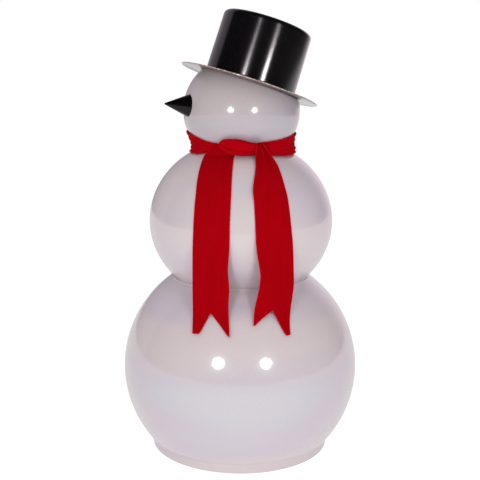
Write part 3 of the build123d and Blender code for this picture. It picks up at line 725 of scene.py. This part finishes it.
class Tail:
    """A hanging end of the scarf, seen from the front, in mm.

    Stations are (height, left edge, right edge) from top to bottom. The end is (share of the width,
    height) along its cut edge. Pleats are (depth, count) where it is gathered. Curls are (height, reach up
    and down, side, depth). over_band is how far out it starts, where it comes over the band.
    """

    def __init__(self, name, stations, end, pleats, curls, seed, over_band):
        self.name = name
        self.over_band = over_band * MM
        self.stations = [(-height * MM, left * MM, right * MM) for height, left, right in stations]
        self.end = [(across, height * MM) for across, height in end]
        self.pleats = pleats
        self.curls = curls
        self.seed = seed

    def place(self, across, distance):
        reach, z = drape_at(distance)
        over_band = 1 / (1 + exp((BAND_LEFT - z) / (3 * MM)))
        reach += max(0.0, self.over_band - reach) * over_band
        left, right = smooth_path(self.stations, -z)
        x = left + (right - left) * across
        gathered = max(0.0, 1 - (right - left) / CLOTH_WIDTH)
        depth, count = self.pleats
        down = self.top - z
        fade = exp(-down / (70 * MM))
        lift = gathered * depth * MM * (1 + sin(2 * pi * (count * across + 0.15 + 2.5 * down)))
        lift += 0.9 * MM * (1 + soft((across * 0.5, z, 0), 0.11, self.seed)) * (1 - fade * 0.5)
        for height, reach_z, side, amount in self.curls:
            near_side = max(0.0, 1 - abs(across - side) / 0.45)
            lift += amount * MM * near_side**2 * exp(-(((z - height * MM) / (reach_z * MM)) ** 2))
        free = 1 / (1 + exp((z - MIDDLE.centre) / (25 * MM)))
        lift += free * 2.2 * MM * (1 + sin(2 * pi * (across * 0.9 + z * 2.1 + self.seed)))
        out = reach + lift
        return Vector((x, -sqrt(max(out * out - x * x, 0)), z))

    def make(self, columns=32, rows=150):
        self.top = -self.stations[0][0]
        start = drape_at_height(self.top)[0]
        tip = min(height for _, height in self.end)
        length = drape_at_height(tip)[0] - start
        grid, uv = [], []
        for row in range(rows + 1):
            u = row / rows
            line, marks = [], []
            for column in range(columns + 1):
                across = column / columns
                cut = drape_at_height(smooth_line(self.end, across))[0] - start
                distance = u * length + (cut - length) * u**7
                line.append(self.place(across, start + distance))
                marks.append((across * CLOTH_WIDTH, distance))
            grid.append(line)
            uv.append(marks)
        self.length = length
        self.outline = [row[0] for row in grid] + grid[-1][1:-1] + [row[-1] for row in reversed(grid)]
        return cloth_from(self.name, grid, uv)


def smooth_line(points, at):
    """Straight-line interpolation through (key, value) points."""
    for (k0, v0), (k1, v1) in zip(points, points[1:]):
        if k0 <= at <= k1:
            return v0 + (v1 - v0) * (at - k0) / (k1 - k0)
    return points[-1][1]


def make_hem(name, outline):
    """A narrow overlocked edge along a cloth's outline."""
    curve = bpy.data.curves.new(name, "CURVE")
    curve.dimensions = "3D"
    curve.bevel_depth = 1.5 * MM
    curve.bevel_resolution = 2
    curve.use_fill_caps = True
    line = curve.splines.new("POLY")
    line.points.add(len(outline) - 1)
    for point, place in zip(line.points, outline):
        point.co = (*place, 1)
    piece = bpy.data.objects.new(name, curve)
    bpy.context.scene.collection.objects.link(piece)
    make_only(piece)
    bpy.ops.object.convert(target="MESH")
    piece = bpy.context.object
    finish_piece(piece, 60)
    return piece


LEFT_TAIL = Tail("scarf_left",
                 [(856, -83, -29), (844, -92, -20), (828, -101, -22), (790, -111, -25), (740, -116, -27),
                  (690, -119.5, -29), (611, -122.5, -30.5), (560, -123, -33.5), (512, -123, -30),
                  (462, -122.5, -32), (403, -122, -29), (380, -122, -27)],
                 end=[(0, 395.5), (0.17, 396), (0.5, 445.5), (1, 394)],
                 pleats=(9, 1.6),
                 curls=[(565, 45, 1, 7), (395, 25, 1, 8), (395, 20, 0, 4)],
                 seed=0.3,
                 over_band=139)
RIGHT_TAIL = Tail("scarf_right",
                  [(875, 40, 54), (860, 38, 64), (844, 37, 76), (837, 37, 80), (814, 38, 95),
                   (763, 31, 112), (732, 34, 119.5), (663, 38, 128), (614, 41, 133), (551, 51, 136),
                   (512, 48, 137), (454, 37, 130), (416, 35, 127), (380, 34, 129)],
                  end=[(0, 418.5), (0.5, 454), (0.9, 391.5), (1, 392.5)],
                  pleats=(8, 2.1),
                  curls=[(551, 60, 0, 14), (765, 25, 0, 6), (415, 25, 0, 9), (395, 20, 1, 4)],
                  seed=1.9,
                  over_band=153)

# Band: its top and bottom edges in mm, and how far down its crease is, by azimuth from the front towards +X
BAND_EDGES = [(-180, 891, 832, 0.55), (-90, 895, 838, 0.6), (-67, 889, 839, 0.6), (-55, 882, 839, 0.62),
              (-46, 876, 844, 0.7), (-38, 872, 851, 0.85), (-27, 869, 852, 0.9), (0, 868, 848, 0.8),
              (20, 873, 842, 0.45), (32, 876, 841, 0.42), (45, 879, 837, 0.5), (63, 885, 837, 0.6),
              (84, 891, 838, 0.6), (180, 891, 832, 0.55)]
BAND_START = 12.0  # azimuths, counted once round the back
BAND_STOP = 336.0
BAND_ROUND = 142 * MM  # the radius that its length is measured at
BAND_FILL = 133 * MM  # the cloth bridges the neck's crease at this radius


def band_surface(z):
    return max(HEAD.reach(z, 2 * MM), MIDDLE.reach(z, 2 * MM), BAND_FILL)


def band_place(azimuth, across):
    """The band at an azimuth in degrees; across runs from its top edge to its tucked-in bottom edge."""
    top, bottom, crease = smooth_path(BAND_EDGES, azimuth)
    right = 0.5 + 0.5 * sin(radians(azimuth))
    round_place = (sin(radians(azimuth)), cos(radians(azimuth)), 0)
    wander = soft(round_place, 0.45, 4.2)
    in_crease = 6.5 + 6 * right + wander
    bulge = 6 + 10 * right + 2 * wander
    lower = 1 - crease
    # (share across the cloth, mm out from the balls, share down the band)
    section = [(0.0, 0.0, 0.0), (0.10, 2.2, 0.05), (0.28, 2.5 + 2 * right, crease * 0.45),
               (0.44, in_crease + 0.8, crease * 0.9), (0.50, in_crease, crease),
               (0.60, bulge * 0.85, crease + lower * 0.2), (0.74, bulge, crease + lower * 0.55),
               (0.88, bulge * 0.6, 1.0), (1.0, -4.0, 0.92)]
    out, down = smooth_path(section, across)
    z = (top - down * (top - bottom)) * MM
    folds = sin(2 * pi * (5.5 * across + 0.7 * wander + azimuth / 160)) * max(0.0, 0.55 - abs(across - 0.4))
    ripple = 1.6 * folds + 1.1 * soft((azimuth / 60, across * 1.2 + azimuth / 90, 0), 0.16, 7.7)
    reach = band_surface(z) + (max(out, -1.0) + ripple) * MM
    angle = radians(azimuth)
    return Vector((reach * sin(angle), -reach * cos(angle), z))


def make_band(columns=40, steps=220):
    """The scarf round the neck, from where it tucks behind the knot on the right to there on the left."""
    grid, uv = [], []
    for step in range(steps + 1):
        azimuth = BAND_START + (BAND_STOP - BAND_START) * step / steps
        turned = azimuth if azimuth <= 180 else azimuth - 360
        along = radians(azimuth - BAND_START) * BAND_ROUND
        grid.append([band_place(turned, column / columns) for column in range(columns + 1)])
        uv.append([(column / columns * CLOTH_WIDTH, along) for column in range(columns + 1)])
    return cloth_from("scarf_band_cloth", grid, uv), radians(BAND_STOP - BAND_START) * BAND_ROUND


# The knot's bundle, in mm: (share along it, x, y, z, half thickness, half height). It starts low on the
# right, runs along the bottom to the left, turns up and comes back to the right across the front.
KNOT_PATH = [(0.00, 40, -142, 849, 5, 6), (0.14, 14, -151, 847, 6, 6.5), (0.28, -10, -153, 847.5, 6, 6.5),
             (0.38, -30, -150, 851, 6, 6.5), (0.46, -45, -145, 857.5, 6, 6), (0.52, -54, -141, 866, 6, 6),
             (0.58, -46, -145, 873, 7.5, 8.5), (0.66, -32, -151, 871, 10, 13),
             (0.78, -10, -155, 866.5, 12, 15.5), (0.90, 16, -154, 863, 11, 13.5),
             (1.00, 44, -144, 861, 8, 11)]
# Its folds: (where one starts round the bundle, how far it turns along it, its depth, its width)
KNOT_FOLDS = [(0.6, 1.9, 0.26, 0.22), (-0.9, 2.3, 0.22, 0.18), (2.2, 1.2, 0.28, 0.26),
              (-2.3, 2.8, 0.24, 0.26)]
KNOT_LAP = 1.0  # how far past the back each edge is wrapped, in radians


def make_knot(columns=64, steps=150):
    """The scarf where it winds round itself: a strip gathered into a bundle with lengthwise folds."""
    places = []
    for step in range(steps + 1):
        t = step / steps
        x, y, z, thick, tall = smooth_path(KNOT_PATH, t)
        places.append((t, Vector((x, y, z)) * MM, thick * MM, tall * MM))
    length = sum((b[1] - a[1]).length for a, b in zip(places, places[1:]))
    grid, uv = [], []
    for i, (t, centre, thick, tall) in enumerate(places):
        ahead = (places[min(i + 1, steps)][1] - places[max(i - 1, 0)][1]).normalized()
        out = Vector((centre.x, centre.y, 0))
        out = (out - ahead * out.dot(ahead)).normalized()
        up = ahead.cross(out)
        line, marks = [], []
        for column in range(columns + 1):
            across = column / columns
            turn = -pi - KNOT_LAP + across * 2 * (pi + KNOT_LAP)
            dent = 0
            for start, twist, depth, width in KNOT_FOLDS:
                away = (turn - start - twist * t + pi) % (2 * pi) - pi
                dent += depth * exp(-((away / width) ** 2))
            crumple = 0.10 * soft((t * 2.5, cos(turn), sin(turn)), 0.42, 3.1)
            grow = (1.03 - 0.18 * across) * (1 - dent + crumple)
            line.append(centre + out * (thick * grow * cos(turn)) + up * (tall * grow * sin(turn)))
            marks.append((across * CLOTH_WIDTH, t * length))
        grid.append(line)
        uv.append(marks)
    return cloth_from("scarf_knot_cloth", grid, uv), length


def make_scarf():
    band, band_length = make_band()
    knot, knot_length = make_knot()
    for piece, length, nodes in ((band, band_length, ["scarf_band"]), (knot, knot_length, ["scarf_knot"])):
        # Band and knot get the lighter red: painted light.
        dress(piece, SCARF_PAINTED_LIT)
        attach(piece, "root")
        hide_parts(*nodes)
    for tail, body, joint, side in ((LEFT_TAIL, "tail_left", "left_tail_swing", "left"),
                                    (RIGHT_TAIL, "tail_right", "right_tail_swing", "right")):
        cloth = tail.make()
        hem = make_hem(f"scarf_{side}_hem", tail.outline)
        # The hem gets the brighter red: a painted highlight.
        for piece, material in ((cloth, SCARF), (hem, SCARF_HEM_PAINTED_SHEEN)):
            dress(piece, material)
            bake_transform(piece)
        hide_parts(f"scarf_{side}_shoulder", f"scarf_{side}_tail")


# ---------------------------------------------------------------- floor, light and camera
CAMERA_PLACE = Vector((-0.0022, -2.5, 1.073))
CAMERA_PITCH = 10.97
CAMERA_ROLL = 0.37
CAMERA_LENS = 67.8
LIGHT_ACROSS = (-0.93, 1.13)  # from the camera
LIGHT_UP = 0.05
LIGHT_SIZE = 0.55
LIGHT_POWER = 11
LIT_MIDDLE = Vector((0, 0, 0.65))
ROOM_FRONT = 0.48  # the room's brightness by direction, as dull surfaces see it
ROOM_BACK = 0.46
ROOM_TOP = 1.35  # times that, straight up
MIRRORED_FRONT = 0.012  # and as glossy surfaces see it
MIRRORED_BACK = 0.9
FLOOR_GLOW = 0.48
FLOOR_SEEN = 0.84
# Lights that only the hat mirrors: (name, x, z, width, height, brightness, roundness)
HAT_SPARKS = (("left spark", -0.76, 1.96, 0.36, 0.22, 110, "ELLIPSE"),
              ("high spark", 1.475, 1.525, 0.44, 0.06, 130, "ELLIPSE"),
              ("right strip", 1.42, 1.40, 0.40, 0.26, 10, "RECTANGLE"),
              ("left strip", -0.72, 2.11, 0.62, 0.16, 1.8, "RECTANGLE"))


def make_floor():
    """A white floor, which looks a little brighter than it lights the balls."""
    deselect()
    bpy.ops.mesh.primitive_plane_add(size=14, location=(0, 0, 0))
    floor = bpy.context.object
    floor.name = "floor"
    shader = Shader("white floor", **{"Roughness": 0.7, "Specular IOR Level": 0.2,
                                      "Base Color": (0.5, 0.49, 0.49, 1), "Emission Color": (1, 1, 1, 1)})
    seen = shader.add("LightPath").outputs["Is Camera Ray"]
    glow = spread(shader, seen, 0.0, 1.0, FLOOR_GLOW, FLOOR_SEEN)
    shader.fill(shader.surface, {"Emission Strength": glow})
    floor.data.materials.append(shader.material)


def room_mirrored(room, parts):
    """What glossy surfaces see: a dark front and a bright back, which starts further round on the right."""
    near_edge = spread(room, parts[0], -0.1, 0.1, 0.24, 0.48)
    far_edge = spread(room, parts[0], -0.1, 0.1, 0.34, 0.95)
    back = spread(room, parts[1], near_edge, far_edge, MIRRORED_FRONT, MIRRORED_BACK)
    back = calculate(room, "MULTIPLY", back, spread(room, parts[0], -0.3, 0.3, 0.42, 1.0))
    back = calculate(room, "MULTIPLY", back, spread(room, parts[2], 0.45, 0.85, 1.0, 0.3))
    return tinted(room, back, 0.87, 0.95)


def room_light(room, parts):
    """What dull surfaces see: soft light from all round, and more from above."""
    depth = spread(room, parts[1], -0.4, 0.7, ROOM_FRONT, ROOM_BACK)
    height = spread(room, parts[2], 0.1, 0.9, 1.0, ROOM_TOP)
    return tinted(room, calculate(room, "MULTIPLY", depth, height), 0.97, 0.98)


def tinted(shader, value, green, blue):
    return shader.add("CombineColor", None, Red=value, Green=calculate(shader, "MULTIPLY", value, green),
                      Blue=calculate(shader, "MULTIPLY", value, blue)).outputs[0]


def make_room():
    """A white studio that shows white, and lights and mirrors as its two parts say."""
    world = bpy.data.worlds.new("studio")
    bpy.context.scene.world = world
    world.use_nodes = True
    room = Nodes(world.node_tree)
    direction = room.add("TexCoord").outputs["Generated"]
    parts = room.add("SeparateXYZ", None, Vector=direction).outputs
    path = room.add("LightPath").outputs
    colour = mix_colours(room, path["Is Glossy Ray"], room_light(room, parts), room_mirrored(room, parts))
    colour = mix_colours(room, path["Is Camera Ray"], colour, (1.0, 1.0, 1.0, 1))
    room.fill(room.tree.nodes["Background"], {"Color": colour})


def add_light(name, place, colour, power, **shape):
    """An area light, which the caller turns."""
    lamp = bpy.data.lights.new(name, "AREA")
    for setting, value in shape.items():
        setattr(lamp, setting, value)
    lamp.energy = power
    lamp.color = colour
    light = bpy.data.objects.new(name, lamp)
    bpy.context.scene.collection.objects.link(light)
    light.location = place
    return light


def make_lights():
    """Two round soft lights beside the camera."""
    for name, across in zip(("left light", "right light"), LIGHT_ACROSS):
        place = CAMERA_PLACE + Vector((across, 0, LIGHT_UP))
        light = add_light(name, place, (1.0, 0.97, 0.98), LIGHT_POWER, shape="DISK", size=LIGHT_SIZE)
        light.rotation_euler = (LIT_MIDDLE - light.location).to_track_quat("-Z", "Y").to_euler()


def make_hat_sparks(hat):
    """The lights that only the hat mirrors, turned to stand along it."""
    mirrors = bpy.data.collections.new("mirrors the sparks")
    mirrors.objects.link(hat)
    for name, x, z, width, height, brightness, shape in HAT_SPARKS:
        area = width * height * (pi / 4 if shape == "ELLIPSE" else 1)
        spark = add_light(name, (x, CAMERA_PLACE.y, z), (1.0, 0.92, 0.97), brightness * pi * area,
                          shape=shape, size=width, size_y=height)
        behind = (spark.location - HAT_CENTRE).normalized()
        level = HAT_UP.cross(behind).normalized()
        spark.rotation_euler = Matrix((level, behind.cross(level), behind)).transposed().to_euler()
        spark.light_linking.receiver_collection = mirrors


def make_camera():
    camera = bpy.data.objects.new("camera", bpy.data.cameras.new("camera"))
    bpy.context.scene.collection.objects.link(camera)
    camera.data.sensor_width = 36
    camera.data.lens = CAMERA_LENS
    camera.matrix_world = (Matrix.Translation(CAMERA_PLACE)
                           @ Matrix.Rotation(radians(90 - CAMERA_PITCH), 4, "X")
                           @ Matrix.Rotation(radians(CAMERA_ROLL), 4, "Z"))
    bpy.context.scene.camera = camera


# ---------------------------------------------------------------- the whole
make_camera()
make_room()
make_lights()
make_floor()
bpy.context.scene.view_settings.view_transform = "Standard"

# Each ball's skin, CAD node and body, where its pearl bands start, and how pale it is; the head's darker colour is
# painted shade from the hat's brim
for skin, node, body, shift, painted_shade_factor in ((make_lower_ball(), "lower_ball", "root", 0.0, 1.0),
                                          (make_middle_ball(), "middle_ball", "root", 0.35, 1.0),
                                          (make_head_ball(), "head_ball", "head", 0.8, 0.81)):
    dress(skin, pearl_lacquer(f"pearl lacquer {node}", shift, painted_shade_factor))
    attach(skin, body)
    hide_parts(node)

hat = make_hat()
dress(hat, HAT_BLACK)
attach(hat, "hat")
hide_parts("hat_shell")
make_hat_sparks(hat)

nose = make_nose()
dress(nose, NOSE_BLACK)
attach(nose, "head")
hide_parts("nose_cone")

make_scarf()

for part in frame["record"]["subparts"]:
    node = frame["nodes"][part["node"]]
    if not node.hide_render:
        node.data.materials.clear()
        node.data.materials.append(FINISHES[part["material_slot"]])
